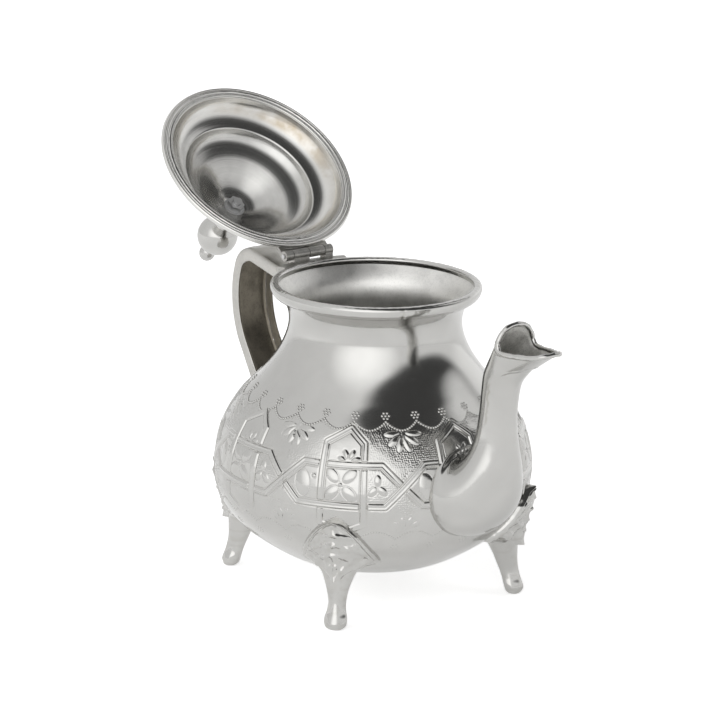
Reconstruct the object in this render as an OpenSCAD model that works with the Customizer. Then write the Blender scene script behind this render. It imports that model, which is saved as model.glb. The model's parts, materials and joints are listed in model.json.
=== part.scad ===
// Footed metal coffee pot: spun belly on four cast feet, two-piece soldered spout, open-backed
// cast handle, and a hinged domed lid that rests fully open against the top of the handle.

/* [View] */
// Sub-part to show, or "all" for the whole pot
// Angle the lid is opened from closed, degrees
lid_open = 140.65; // [0:0.05:140.65]

/* [Body] */
// Largest diameter of the belly
belly_d = 140; // [110:1:170]
// Thickness of the spun sheet
sheet = 1; // [0.6:0.1:2]
// Radius of the round hole that the base disc closes
base_r = 26; // [15:0.5:35]
// Height of the underside of the belly above the floor
base_z = 12.8; // [8:0.1:25]
// Height of the belly's widest point
belly_z = 54; // [40:0.5:70]
// Smallest outside radius of the neck
neck_r = 38; // [30:0.5:45]
// Height of the narrowest part of the neck
neck_z = 121.5; // [110:0.5:130]
// Outside radius of the rolled ring round the mouth
rim_r = 46.2; // [38:0.1:55]
// Height of the top of the mouth ring
rim_z = 136.9; // [120:0.1:150]
// Distance of the pot's vertical axis from the middle of its overall length
axis_x = 6.65; // [0:0.05:15]

/* [Spout] */
// Wall thickness of the pressed spout halves
spout_wall = 1.2; // [0.8:0.1:2]
// Diameter of each pierced strainer hole
strainer_d = 4; // [2:0.5:6]
// Height of the middle strainer row
strainer_z = 58; // [50:0.5:66]
// Distance between strainer holes
strainer_pitch = 8; // [6:0.5:10]

/* [Handle] */
// Width of the handle
handle_w = 20; // [14:0.5:26]
// Depth of the channel section
handle_depth = 6; // [4:0.2:9]
// Thickness of the channel's back
handle_back = 1.5; // [1:0.1:3]
// Thickness of the channel's side walls
handle_side = 1.4; // [1:0.1:3]
// Where the handle's back starts to curve: distance from the pot's axis
handle_low_x = -87; // [-100:0.5:-75]
// Where the handle's back starts to curve: height
handle_low_z = 88.9; // [75:0.1:100]
// Direction of the handle as it leaves the belly, degrees from the spout's side
handle_rise = 122; // [100:1:140]
// Direction of the handle where its top corner starts, degrees
handle_lean = 72; // [60:1:90]
// Fall of the top of the handle towards the neck, degrees
handle_fall = 11.5; // [0:0.5:25]
// Radius of the handle's long curve
handle_big_r = 46.6; // [35:0.1:60]
// Radius of the handle's top corner
handle_corner_r = 13; // [8:0.5:20]

/* [Hinge] */
// Distance of the hinge axis behind the pot's axis
hinge_x = 49.36; // [45:0.01:60]
// Height of the hinge axis
hinge_z = 139.78; // [130:0.01:150]
// Length of the hinge along its pin
hinge_w = 26; // [16:0.5:40]
// Radius of the hinge pin
pin_r = 1; // [0.6:0.05:2]
// Radial clearance of the pin in its knuckles
pin_play = 0.05; // [0.02:0.01:0.1]
// Outside radius of the knuckles
knuckle_r = 2.3; // [1.8:0.1:4]

/* [Lid] */
// Outside radius of the lid
lid_r = 46.74; // [40:0.01:55]
// Gap between the closed lid and the mouth ring
lid_gap = 0.3; // [0.1:0.05:1]
// Thickness of the rolled edge of the lid
lid_edge = 2.6; // [2:0.1:4]
// Radius of the screw that holds the finial
stud_r = 2; // [1.5:0.1:3]
// Radius of the finial's ball
ball_r = 9.4; // [6:0.1:12]
// Height of the ball's centre above the lid's edge
ball_h = 50.5; // [40:0.5:60]
// Radius of the finial's small top ball
tip_r = 3.7; // [2:0.1:5]
// Height of the small ball's centre above the lid's edge
tip_h = 63.6; // [50:0.1:75]

/* [Feet] */
// Direction of the front left foot from the spout, degrees
foot_turn = 37.75; // [30:0.25:60]
// Radius of the circle through the middles of the soles
foot_circle = 65.6; // [50:0.1:80]
// Thickness of the shield plate at the knee
shield_t = 3.2; // [2:0.1:5]
// Half width of the shield plate at its lower end
shield_half = 16.5; // [10:0.5:20]
// Height of the top of the shield plate
shield_top = 49.5; // [40:0.5:60]

/* [Hidden] */
silver = [0.86, 0.86, 0.84];
worn_silver = [0.74, 0.73, 0.70];
steel = [0.6, 0.6, 0.6];
fine = 96;
lid_z = rim_z + lid_gap;
knuckle_gap = 0.3;

// Point at share t of the way from p1 to p2 on a smooth curve through all four points
function curve_point(p0, p1, p2, p3, t) = 0.5 * (2 * p1 + (p2 - p0) * t
    + (2 * p0 - 5 * p1 + 4 * p2 - p3) * t ^ 2 + (3 * p1 - p0 - 3 * p2 + p3) * t ^ 3);

// Smooth curve through the points, with n steps between neighbours
function smooth(pts, n) = [
    for (i = [0 : len(pts) - 2]) for (j = [0 : n - 1])
        curve_point(pts[max(i - 1, 0)], pts[i], pts[i + 1], pts[min(i + 2, len(pts) - 1)], j / n),
    pts[len(pts) - 1]
];

// Unit vector to the right of the line's direction at point i
function right_of(line, i) = let (
    d = line[min(i + 1, len(line) - 1)] - line[max(i - 1, 0)]
) [d[1], -d[0]] / norm(d);

// Line moved sideways by distance d
function moved(line, d) = [for (i = [0 : len(line) - 1]) line[i] + d * right_of(line, i)];

function reversed(line) = [for (i = [len(line) - 1 : -1 : 0]) line[i]];

// Outer profile of the belly and neck as [radius, height], from the base hole to the mouth
belly_r = belly_d / 2;
body_line = smooth([
    [base_r, base_z],
    [belly_r * 0.545, base_z + 3.4],
    [belly_r * 0.72, base_z + 10.6],
    [belly_r * 0.874, base_z + 19.3],
    [belly_r * 0.97, belly_z - 12],
    [belly_r, belly_z],
    [belly_r * 0.97, belly_z + 15],
    [belly_r * 0.87, belly_z + 29],
    [belly_r * 0.718, belly_z + 41],
    [neck_r + 4.4, neck_z - 15.5],
    [neck_r + 0.2, neck_z - 4.5],
    [neck_r + 0.8, neck_z + 4.5],
    [neck_r + 5.9, neck_z + 11.9]
], 3);

module at_axis() {
    translate([axis_x, 0, 0]) children();
}

// Places a lid piece, drawn closed, at the lid's open angle
module on_lid() {
    at_axis() translate([-hinge_x, 0, hinge_z]) rotate([0, -lid_open, 0])
        translate([hinge_x, 0, -hinge_z]) children();
}

module solid_body(grow = 0) {
    rotate_extrude($fn = fine)
        polygon(concat([[0, base_z]], moved(body_line, grow), [[0, neck_z + 11.9]]));
}

module strainer_holes() {
    for (row = [-1 : 1]) for (col = [-1.5 + abs(row) * 0.5 : 1 : 1.5 - abs(row) * 0.5])
        translate([belly_r * 0.8, col * strainer_pitch, strainer_z + row * strainer_pitch])
            rotate([0, 90, 0]) cylinder(d = strainer_d, h = belly_r * 0.3, $fn = 24);
}

module body_shell() {
    color(silver) at_axis() difference() {
        rotate_extrude($fn = fine)
            polygon(concat(body_line, reversed(moved(body_line, -sheet))));
        strainer_holes();
    }
}

// Shallow dished disc that closes the base
module base_disc() {
    dish = 0.8;
    edge = base_r - 0.1;
    color(silver) at_axis() rotate_extrude($fn = fine)
        polygon([[0, base_z + dish], [edge - 4, base_z + dish], [edge - 2, base_z],
            [edge, base_z], [edge - 0.25, base_z + 0.8], [edge - 2, base_z + sheet],
            [edge - 4, base_z + dish + sheet], [0, base_z + dish + sheet]]);
}

// Half-round ring soldered round the mouth
module mouth_ring_shape() {
    lip = body_line[len(body_line) - 1];
    clear = 0.1;
    seat = lip[1] + 0.65; // just above the cut edge of the sheet
    polygon([[lip[0] + clear, lip[1] - 2.2], [rim_r - 0.9, rim_z - 4.2],
        [rim_r - 0.2, rim_z - 3.2], [rim_r, rim_z - 2], [rim_r - 0.1, rim_z - 1],
        [rim_r - 0.8, rim_z - 0.2], [rim_r - 1.7, rim_z], [rim_r - 3.4, rim_z - 0.3],
        [rim_r - 3.7, rim_z - 1.2], [rim_r - 3.5, seat], [lip[0] + clear, seat]]);
}

module rim_ring() {
    color(silver) at_axis() rotate_extrude($fn = fine) mouth_ring_shape();
}

// Spout stations: [x, z, rise of the flow in degrees, half depth, half width]
spout_line = smooth([
    [54, 58.5, 0, 20.5, 23.3],
    [63, 58.8, 2, 20.2, 23],
    [69.5, 60.2, 16, 19, 22.2],
    [74.2, 63.4, 37, 16.4, 20],
    [77.7, 68.4, 56, 13.8, 16.8],
    [80.2, 75.2, 72, 11.6, 13.4],
    [81.6, 82.8, 83, 9.7, 10.4],
    [82.2, 90.5, 88, 8.5, 8.7],
    [82.7, 99, 88, 8, 8],
    [83.6, 107.5, 84, 8.1, 8.1],
    [85.3, 114, 80, 8.6, 8.7],
    [89.2, 119.6, 86, 10.2, 9.4]
], 2);

// Rim of the open mouth as [x, y, z], from the tip of the lip back and up round the hood
mouth_line = smooth([
    [117.3, 0, 131],
    [113.6, 4.9, 129.9],
    [104.8, 8.4, 128.7],
    [93.4, 10.2, 128.4],
    [91.3, 10.1, 131.6],
    [91.6, 7, 136.7],
    [91.9, 0, 139.1]
], 2);
half_steps = 12;

// Points round half of one spout station, from its front to its back
function spout_arc(s, wall) = [for (k = [0 : half_steps])
    let (
        tilt = s[2] - 90,
        u = (s[3] - wall) * cos(180 * k / half_steps),
        v = (s[4] - wall) * sin(180 * k / half_steps)
    )
    [s[0] + u * cos(tilt), v, s[1] + u * sin(tilt)]];

// The mouth's rim moved inwards by the wall's thickness
function mouth_arc(wall) = [for (p = mouth_line)
    let (out = p - [p[0] < 95 ? 92 : 100, 0, 129.5])
    p - wall * out / norm(out)];

function mixed(a, b, t) = [for (k = [0 : half_steps]) (1 - t) * a[k] + t * b[k]];

function closed_ring(outer, inner) = concat(outer, reversed(inner));

last_station = spout_line[len(spout_line) - 1];
spout_rings = concat(
    [for (s = spout_line) closed_ring(spout_arc(s, 0), spout_arc(s, spout_wall))],
    [for (t = [0.25 : 0.25 : 1]) closed_ring(
        mixed(spout_arc(last_station, 0), mouth_arc(0), t),
        mixed(spout_arc(last_station, spout_wall), mouth_arc(spout_wall), t))]
);

// Joins equal closed rings into one solid; with paired ends, point k of a ring faces point -k
module skin(rings, paired = false) {
    m = len(rings[0]);
    last = (len(rings) - 1) * m;
    pairs = [for (k = [0 : m / 2 - 2]) [k, k + 1, m - 2 - k, m - 1 - k]];
    start = paired ? pairs : [[for (k = [0 : m - 1]) k]];
    polyhedron(
        points = [for (r = rings) each r],
        faces = concat(
            start,
            [for (f = start) [for (i = [len(f) - 1 : -1 : 0]) last + f[i]]],
            [for (i = [0 : len(rings) - 2]) for (k = [0 : m - 1])
                let (q = (k + 1) % m) each
                    [[i * m + k, (i + 1) * m + k, (i + 1) * m + q],
                     [i * m + k, (i + 1) * m + q, i * m + q]]]
        )
    );
}

module spout_half() {
    difference() {
        skin(spout_rings, true);
        solid_body();
    }
}

module spout_left() {
    color(silver) at_axis() spout_half();
}

module spout_right() {
    color(silver) at_axis() mirror([0, 1, 0]) spout_half();
}

// A plate drawn as [x, z] and given width along Y, from y0 to y1
module plate_y(y0, y1) {
    translate([0, y1, 0]) rotate([90, 0, 0]) linear_extrude(y1 - y0) children();
}

// Points on an arc about c, from one polar angle to another
function arc_points(c, r, from, to, n) =
    [for (i = [0:n]) let (a = from + (to - from) * i / n) c + r * [cos(a), sin(a)]];

// Outer back of the handle as [x, z]: a straight rise, one long curve, a tight top corner and
// a straight fall to the neck
handle_low = [handle_low_x, handle_low_z];
big_c = handle_low + handle_big_r * [sin(handle_rise), -cos(handle_rise)];
corner_c = big_c + (handle_big_r - handle_corner_r) * [-sin(handle_lean), cos(handle_lean)];
handle_over = corner_c + handle_corner_r * [sin(handle_fall), cos(handle_fall)];
handle_line = concat(
    [handle_low - 40 * [cos(handle_rise), sin(handle_rise)]],
    arc_points(big_c, handle_big_r, handle_rise + 90, handle_lean + 90, 16),
    arc_points(corner_c, handle_corner_r, handle_lean + 90 - 8, 90 - handle_fall, 10),
    [handle_over + 38 * [cos(handle_fall), -sin(handle_fall)]]);

module handle() {
    inside = handle_w / 2 - handle_side;
    color(worn_silver) at_axis() difference() {
        plate_y(-handle_w / 2, handle_w / 2)
            polygon(concat(handle_line, reversed(moved(handle_line, handle_depth))));
        plate_y(-inside, inside) polygon(concat(moved(handle_line, handle_back),
            reversed(moved(handle_line, handle_depth + 1))));
        solid_body();
    }
}

module knuckle(y0, y1, r) {
    translate([-hinge_x, y0, hinge_z]) rotate([-90, 0, 0]) cylinder(r = r, h = y1 - y0, $fn = 48);
}

half_hinge = hinge_w / 2;
leaf_spans = [[-half_hinge, -9], [0.15, 8.55]];
bracket_spans = [[-9 + knuckle_gap, 0.15 - knuckle_gap], [8.55 + knuckle_gap, half_hinge]];
pin_hole_r = pin_r + pin_play;
seat_top = rim_z - 0.3;

// Saddle behind the mouth ring that carries the fixed knuckles
module hinge_bracket() {
    wing = 22;
    saddle_z = rim_z - 3.2;
    color(worn_silver) at_axis() difference() {
        union() {
            rotate([0, 0, 180 - wing]) rotate_extrude(angle = 2 * wing, $fn = fine)
                polygon([[rim_r + 0.1, saddle_z], [rim_r + 4.6, saddle_z + 0.6],
                    [rim_r + 4.6, seat_top - 0.8], [rim_r + 3.8, seat_top],
                    [rim_r + 0.1, seat_top]]);
            for (s = bracket_spans) {
                plate_y(s[0], s[1]) polygon([[-hinge_x - 2, seat_top - 1],
                    [-hinge_x + 2, seat_top - 1], [-hinge_x + 2, hinge_z],
                    [-hinge_x - 2, hinge_z]]);
                knuckle(s[0], s[1], knuckle_r);
            }
        }
        knuckle(-half_hinge - 1, half_hinge + 1, pin_hole_r);
    }
}

module hinge_pin() {
    color(steel) at_axis() knuckle(-half_hinge - 0.6, half_hinge + 0.6, pin_r);
}

// Strap soldered to the lid's edge, with the moving knuckles
module hinge_leaf() {
    low = lid_z + lid_edge + 0.05;
    plate_x = -hinge_x + knuckle_r + 0.36;
    color(worn_silver) on_lid() difference() {
        union() {
            plate_y(-half_hinge, half_hinge) polygon([[plate_x, low], [plate_x + 4.2, low],
                [plate_x + 3.6, low + 1.6], [plate_x, low + 1.8]]);
            for (s = leaf_spans) {
                plate_y(s[0], s[1]) polygon([[-hinge_x, low], [plate_x + 0.5, low],
                    [plate_x + 0.5, low + 1.8], [-hinge_x, low + 1.8]]);
                knuckle(s[0], s[1], knuckle_r);
            }
        }
        knuckle(-half_hinge - 1, half_hinge + 1, pin_hole_r);
    }
}

// Underside of the lid as [radius, height above the lid's edge], from the edge to the middle
dome_line = smooth([
    [41.4, 0.9],
    [40.4, 2.6],
    [38.8, 5],
    [35.6, 7.9],
    [32.6, 9.6],
    [31.3, 11.6],
    [28.7, 17.3],
    [23.6, 22.7],
    [16.6, 27.1],
    [9.5, 29.9],
    [6, 30.4]
], 3);
dome_top = 30.4;
lid_sheet = 0.9;

module lid_dome() {
    color(silver) on_lid() translate([0, 0, lid_z]) rotate_extrude($fn = fine)
        polygon(concat(dome_line, [[stud_r + 0.1, dome_top], [stud_r + 0.1, dome_top + lid_sheet],
            [6, dome_top + lid_sheet]], reversed(moved(dome_line, lid_sheet))));
}

// Rolled edge ring with a flat face that closes on the mouth ring
module lid_ring() {
    top = lid_edge;
    seat = dome_line[0];
    color(silver) on_lid() translate([0, 0, lid_z]) rotate_extrude($fn = fine)
        polygon([[seat[0] - 0.6, 0], [lid_r - 1.4, 0], [lid_r - 0.3, 0.5], [lid_r, 1.3],
            [lid_r - 0.3, 2.1], [lid_r - 1.3, top], [lid_r - 3.2, top], [seat[0] + 1.2, 1.9],
            [seat[0] + 1.2, 0.85], [seat[0] - 0.6, 0.85]]);
}

module finial_knob() {
    foot_h = dome_top + lid_sheet;
    color(silver) on_lid() translate([0, 0, lid_z]) difference() {
        union() {
            rotate_extrude($fn = 64) polygon([[0, foot_h], [6.4, foot_h], [6.6, foot_h + 0.8],
                [5.4, foot_h + 2], [3.4, foot_h + 4.4], [2.9, foot_h + 7.4], [3.8, foot_h + 9.6],
                [4.6, foot_h + 10.6], [4.6, ball_h - 6], [0, ball_h - 6]]);
            translate([0, 0, ball_h]) sphere(r = ball_r, $fn = 64);
            translate([0, 0, ball_h]) cylinder(r = 2.3, h = tip_h - ball_h, $fn = 32);
            translate([0, 0, tip_h]) sphere(r = tip_r, $fn = 48);
        }
        translate([0, 0, foot_h - 1]) cylinder(r = stud_r + 0.03, h = 11, $fn = 32);
    }
}

washer_t = 0.8;
nut_h = 2.8;

module finial_stud() {
    low = dome_top - washer_t - nut_h - 1.4;
    color(steel) on_lid() translate([0, 0, lid_z + low])
        cylinder(r = stud_r, h = dome_top + lid_sheet + 8 - low, $fn = 32);
}

module finial_washer() {
    color(steel) on_lid() translate([0, 0, lid_z + dome_top - washer_t]) difference() {
        cylinder(r = 5, h = washer_t, $fn = 48);
        translate([0, 0, -1]) cylinder(r = stud_r + 0.1, h = 3, $fn = 32);
    }
}

module finial_nut() {
    flats = 7;
    color(steel) on_lid() translate([0, 0, lid_z + dome_top - washer_t - nut_h]) difference() {
        cylinder(r = flats / 2 / cos(30), h = nut_h, $fn = 6);
        translate([0, 0, -1]) cylinder(r = stud_r + 0.03, h = nut_h + 2, $fn = 32);
    }
}

// Leg stations: [height, inner radius, outer radius, width across]
leg_line = [
    [1.2, 61.2, 70, 9.8],
    [4.4, 60.6, 69.4, 10],
    [7, 59.8, 68, 8.5],
    [10.2, 58.5, 67.2, 7.8],
    [13, 57.3, 66.8, 8.3],
    [17, 55.6, 66.5, 10],
    [21, 53.6, 66.4, 12.7],
    [25.5, 51.4, 66.9, 16],
    [30, 52, 68, 21],
    [34, 56, 69.2, 25]
];

// Eight-sided outline of one leg station
function leg_ring(s) = let (b = 1.8, h = s[3] / 2) [
    [s[2] - b, -h, s[0]], [s[2], -h + b, s[0]], [s[2], h - b, s[0]], [s[2] - b, h, s[0]],
    [s[1] + b, h, s[0]], [s[1], h - b, s[0]], [s[1], -h + b, s[0]], [s[1] + b, -h, s[0]]
];

module shield_outline() {
    foot_z = 28;
    polygon(concat([[-shield_half, foot_z], [shield_half, foot_z]],
        [for (a = [0 : 10 : 180]) let (s = sin(a))
            [shield_half * cos(a), foot_z + (shield_top - foot_z) * (0.25 * s + 0.75 * s ^ 0.8)]]));
}

// Cast foot: arched shield on the belly, waisted leg and flared sole
module foot(turn) {
    color(silver) at_axis() rotate([0, 0, turn]) difference() {
        union() {
            intersection() {
                rotate([0, 0, -30]) rotate_extrude(angle = 60, $fn = fine)
                    polygon(concat([[40, base_z]], moved(body_line, shield_t), [[20, neck_z]]));
                translate([40, 0, 0]) rotate([90, 0, 90]) linear_extrude(40) shield_outline();
            }
            skin([for (s = leg_line) leg_ring(s)]);
            translate([foot_circle, 0, 0]) linear_extrude(1.2) polygon([[-3, -3.8], [3, -3.8],
                [4.2, -2.6], [4.2, 2.6], [3, 3.8], [-3, 3.8], [-4.2, 2.6], [-4.2, -2.6]]);
        }
        solid_body();
    }
}

module foot_front_left() {
    foot(foot_turn);
}

module foot_rear_left() {
    foot(foot_turn + 90);
}

module foot_rear_right() {
    foot(foot_turn + 180);
}

module foot_front_right() {
    foot(foot_turn + 270);
}

body_shell();
base_disc();
rim_ring();
spout_left();
spout_right();
handle();
hinge_bracket();
hinge_pin();
hinge_leaf();
lid_dome();
lid_ring();
finial_knob();
finial_stud();
finial_washer();
finial_nut();
foot_front_left();
foot_front_right();
foot_rear_left();
foot_rear_right();
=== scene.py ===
"""Footed silver teapot with its lid open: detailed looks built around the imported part."""

import contextlib
import json
import math

import bpy
import numpy as np
from mathutils import Matrix, Vector


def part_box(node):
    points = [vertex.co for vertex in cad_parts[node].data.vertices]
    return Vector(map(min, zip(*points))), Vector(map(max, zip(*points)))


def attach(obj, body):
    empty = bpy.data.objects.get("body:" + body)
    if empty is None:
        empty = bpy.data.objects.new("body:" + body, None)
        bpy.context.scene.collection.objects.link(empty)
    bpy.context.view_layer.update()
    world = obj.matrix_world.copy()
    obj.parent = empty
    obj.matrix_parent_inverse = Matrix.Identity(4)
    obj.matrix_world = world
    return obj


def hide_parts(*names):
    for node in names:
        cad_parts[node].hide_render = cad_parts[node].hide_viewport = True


bl_info = {
    "name": "Footed Silver Teapot",
    "version": (1, 0, 0),
    "blender": (4, 5, 0),
    "location": "View3D > Sidebar > Teapot",
    "description": "Builds the chased silver teapot, its open lid and its studio",
    "category": "Add Mesh",
}

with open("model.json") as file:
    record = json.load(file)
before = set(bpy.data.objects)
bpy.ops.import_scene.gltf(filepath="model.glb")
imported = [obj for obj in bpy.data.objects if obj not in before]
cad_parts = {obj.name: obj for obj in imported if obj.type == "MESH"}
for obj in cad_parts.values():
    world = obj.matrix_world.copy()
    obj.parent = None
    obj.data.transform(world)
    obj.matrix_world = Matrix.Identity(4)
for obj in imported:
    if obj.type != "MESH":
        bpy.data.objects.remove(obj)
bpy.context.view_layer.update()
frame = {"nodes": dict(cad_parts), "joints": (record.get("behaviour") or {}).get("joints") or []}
MM = 0.001
SHELL_LOW, SHELL_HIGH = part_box("body_shell")
AXIS_X = (SHELL_LOW.x + SHELL_HIGH.x) / 2
LID_JOINT = frame["joints"][0]
HINGE = Vector(LID_JOINT["pos_m"])
LID_OPEN = math.radians(LID_JOINT["range_deg"][1])
# Height of the closed lid's lower edge in millimetres
LID_SEAT = 137.2


# ---------------------------------------------------------------- curves and surfaces


def smooth_line(points, steps):
    """Smooth curve through all the points, with equal steps between neighbours."""
    p = np.array(points, float)
    before = np.vstack([p[:1], p[:-1]])[:-1]
    after = np.vstack([p[1:], p[-1:]])[1:]
    t = (np.arange(steps) / steps)[None, :, None]
    a, b, c, d = before[:, None], p[:-1, None], p[1:, None], after[:, None]
    curve = 0.5 * (2 * b + (c - a) * t + (2 * a - 5 * b + 4 * c - d) * t**2
                   + (3 * b - a - 3 * c + d) * t**3)
    return np.vstack([curve.reshape(-1, p.shape[1]), p[-1:]])


def along(line, t):
    """Points at shares t of the way along a line, counted by its points."""
    at = np.asarray(t) * (len(line) - 1)
    return np.stack([np.interp(at, np.arange(len(line)), line[:, k])
                     for k in range(line.shape[1])], -1)


def run_length(points):
    """Distance along a line to each of its points."""
    steps = np.linalg.norm(np.diff(points, axis=0), axis=1)
    return np.concatenate([[0], np.cumsum(steps)])


def ease(low, high, x):
    """Smooth step from 0 at low to 1 at high."""
    t = np.clip((x - low) / (high - low), 0, 1)
    return t * t * (3 - 2 * t)


def scatter(a, b):
    """Repeatable random number from 0 to 1 for each pair of numbers."""
    n = np.sin(a * 127.1 + b * 311.7) * 43758.5453
    return n - np.floor(n)


def lumps(x, y):
    """Soft random height from -1 to 1 over a plane, about one lump a unit."""
    i, j = np.floor(x), np.floor(y)
    u, v = ease(0, 1, x - i), ease(0, 1, y - j)
    low = scatter(i, j) * (1 - u) + scatter(i + 1, j) * u
    high = scatter(i, j + 1) * (1 - u) + scatter(i + 1, j + 1) * u
    return 2 * (low * (1 - v) + high * v) - 1


# Outside of the belly and neck as [radius, height], from the base hole to the mouth
BODY = smooth_line([
    (26, 12.8), (38.15, 16.2), (50.4, 23.4), (61.18, 32.1), (67.9, 42), (70, 54),
    (67.9, 69), (60.9, 83), (50.26, 95), (42.4, 106), (38.2, 117), (38.8, 126),
    (43.9, 133.4)], 12)
BODY_WALL = 1.0
BODY_LENGTH = run_length(BODY)
BODY_SLOPE = np.gradient(BODY[:, 0], BODY[:, 1])


def belly_radius(z):
    return np.interp(z, BODY[:, 1], BODY[:, 0])


def belly_length(z):
    """Length of the profile up to height z."""
    return np.interp(z, BODY[:, 1], BODY_LENGTH)


def on_belly(turn, z, height=0.0):
    """Point on the belly, raised along its surface normal: turn in degrees from the spout."""
    slope = np.interp(z, BODY[:, 1], BODY_SLOPE)
    size = np.hypot(1, slope)
    r = belly_radius(z) + height / size
    a = np.radians(turn)
    return r * np.cos(a), r * np.sin(a), z - height * slope / size


# ---------------------------------------------------------------- modelling tools


def nothing_selected():
    if bpy.context.object and bpy.context.object.mode != "OBJECT":
        bpy.ops.object.mode_set(mode="OBJECT")
    bpy.ops.object.select_all(action="DESELECT")


def picked(obj):
    """Only this object selected, and active."""
    nothing_selected()
    obj.select_set(True)
    bpy.context.view_layer.objects.active = obj


@contextlib.contextmanager
def editing(obj, selected=True):
    """Edit mode on one object, with all or nothing of its mesh selected."""
    picked(obj)
    bpy.ops.object.mode_set(mode="EDIT")
    bpy.ops.mesh.select_all(action="SELECT" if selected else "DESELECT")
    yield obj
    bpy.ops.object.mode_set(mode="OBJECT")


def corners(obj):
    """Corner positions in millimetres about the pot's axis."""
    flat = np.empty(len(obj.data.vertices) * 3, np.float32)
    obj.data.vertices.foreach_get("co", flat)
    return flat.reshape(-1, 3) / MM - (AXIS_X / MM, 0, 0)


def put_corners(obj, points):
    """Moves the corners to positions in millimetres about the pot's axis."""
    placed = (np.asarray(points) + (AXIS_X / MM, 0, 0)) * MM
    obj.data.vertices.foreach_set("co", placed.astype(np.float32).ravel())
    obj.data.update()


def named(name):
    obj = bpy.context.object
    obj.name = obj.data.name = name
    return obj


def welded(obj, gap=0.002):
    """Merges corners that meet and turns all faces outwards."""
    with editing(obj):
        bpy.ops.mesh.remove_doubles(threshold=gap * MM)
        bpy.ops.mesh.normals_make_consistent(inside=False)
    return obj


def capped(obj):
    """Fills the open ends of a tube."""
    with editing(obj, selected=False):
        bpy.ops.mesh.select_mode(type="EDGE")
        bpy.ops.mesh.select_non_manifold()
        bpy.ops.mesh.edge_face_add()
        bpy.ops.mesh.select_mode(type="VERT")
    return obj


def smooth_shaded(obj, angle=180):
    picked(obj)
    if angle >= 180:
        bpy.ops.object.shade_smooth()
    else:
        bpy.ops.object.shade_smooth_by_angle(angle=math.radians(angle))
    return obj


def turned(name, line, steps, angle=40):
    """Lathe work: a profile of [radius, height] drawn corner by corner and spun round the axis."""
    nothing_selected()
    start = (AXIS_X + line[0][0] * MM, 0, line[0][1] * MM)
    bpy.ops.mesh.primitive_plane_add(size=MM, location=start)
    obj = named(name)
    bpy.ops.object.transform_apply()
    with editing(obj):
        bpy.ops.mesh.merge(type="CENTER")
        for here, there in zip(line[:-1], line[1:]):
            step = ((there[0] - here[0]) * MM, 0, (there[1] - here[1]) * MM)
            bpy.ops.mesh.extrude_vertices_move(TRANSFORM_OT_translate={"value": step})
        bpy.ops.mesh.select_all(action="SELECT")
        bpy.ops.mesh.spin(steps=steps, angle=2 * math.pi, center=(AXIS_X, 0, 0), axis=(0, 0, 1))
    return smooth_shaded(welded(obj), angle)


def wrapped(name, columns, rows, place, weld=True, angle=180):
    """A grid laid on a surface: place takes shares s and t and gives x, y, z in millimetres."""
    nothing_selected()
    bpy.ops.mesh.primitive_grid_add(x_subdivisions=columns, y_subdivisions=rows, size=1)
    obj = named(name)
    flat = np.empty(len(obj.data.vertices) * 3, np.float32)
    obj.data.vertices.foreach_get("co", flat)
    s, t = flat.reshape(-1, 3)[:, 0] + 0.5, flat.reshape(-1, 3)[:, 1] + 0.5
    put_corners(obj, np.stack(np.broadcast_arrays(*place(s, t)), -1))
    if weld:
        welded(obj)
    return smooth_shaded(obj, angle)


def modified(obj, kind, **settings):
    """Adds a modifier with these settings and applies it."""
    picked(obj)
    modifier = obj.modifiers.new(kind.title(), kind)
    for key, value in settings.items():
        setattr(modifier, key, value)
    bpy.ops.object.modifier_apply(modifier=modifier.name)
    return obj


def joined(name, objects):
    nothing_selected()
    for obj in objects:
        obj.select_set(True)
    bpy.context.view_layer.objects.active = objects[0]
    bpy.ops.object.join()
    return named(name)


def copies(obj, matrices):
    """Copies of an object, each with its own mesh, placed by matrices in metres."""
    made = []
    for matrix in matrices:
        picked(obj)
        bpy.ops.object.duplicate(linked=False)
        copy = bpy.context.object
        copy.data.transform(matrix)
        made.append(copy)
    return made


def removed(obj):
    bpy.data.objects.remove(obj, do_unlink=True)


def turn_about_axis(degrees):
    centre = Vector((AXIS_X, 0, 0))
    return (Matrix.Translation(centre) @ Matrix.Rotation(math.radians(degrees), 4, "Z")
            @ Matrix.Translation(-centre))


def lid_matrix():
    """Takes a piece drawn on the closed lid to where the open lid holds it."""
    return (Matrix.Translation(HINGE) @ Matrix.Rotation(-LID_OPEN, 4, "Y")
            @ Matrix.Translation(-HINGE))


def opened(obj):
    obj.data.transform(lid_matrix())
    return obj


def surface_directions(obj):
    """Which way each face looks, one row a face."""
    ways = np.empty(len(obj.data.polygons) * 3)
    obj.data.polygons.foreach_get("normal", ways)
    return ways.reshape(-1, 3)


def surface_value(obj, name, values):
    """Stores one number for each corner, for the material to read."""
    attribute = obj.data.attributes.new(name, "FLOAT", "POINT")
    attribute.data.foreach_set("value", np.asarray(values, np.float32))


def settled(obj, body, slot, finish, *nodes):
    """Gives a finished piece its finish and its body, and hides the nodes it stands for; slot is
    not used.
    """
    obj.data.materials.clear()
    obj.data.materials.append(finish)
    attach(obj, body)
    if nodes:
        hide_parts(*nodes)
    return obj


# ---------------------------------------------------------------- finishes


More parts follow.
